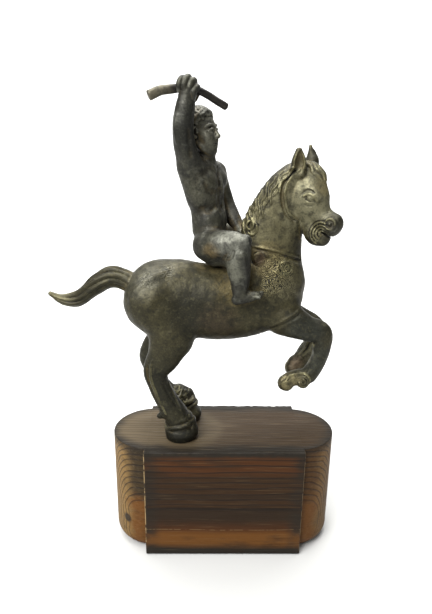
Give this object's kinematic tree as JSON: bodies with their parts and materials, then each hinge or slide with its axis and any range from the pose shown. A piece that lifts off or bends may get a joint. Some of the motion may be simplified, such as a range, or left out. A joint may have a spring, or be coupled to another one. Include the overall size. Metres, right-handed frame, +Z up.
{
  "type": "equestrian statuette",
  "caption": "Bronze nude rider with a raised stick on a rearing horse, standing on its hind hooves on a round-ended wooden plinth.",
  "frame": {"origin": "centre of the plinth's underside", "axes": "+X the way the horse faces, +Y the horse's left side, away from the picture's view, +Z up"},
  "size_m": [0.1984, 0.068, 0.3202],
  "materials": {
    "wood": "dark stained and waxed softwood with strong ring grain",
    "horse_bronze": "cast bronze, olive-brown patina with ochre dirt in the recesses",
    "rider_bronze": "cast bronze, dark grey-brown patina rubbed bright on the high parts",
    "rod_bronze": "cast bronze, brown-black patina"
  },
  "bodies": {
    "root": {"plinth": "wood", "horse": "horse_bronze", "rider": "rider_bronze", "rod": "rod_bronze"}
  },
  "joints": []
}
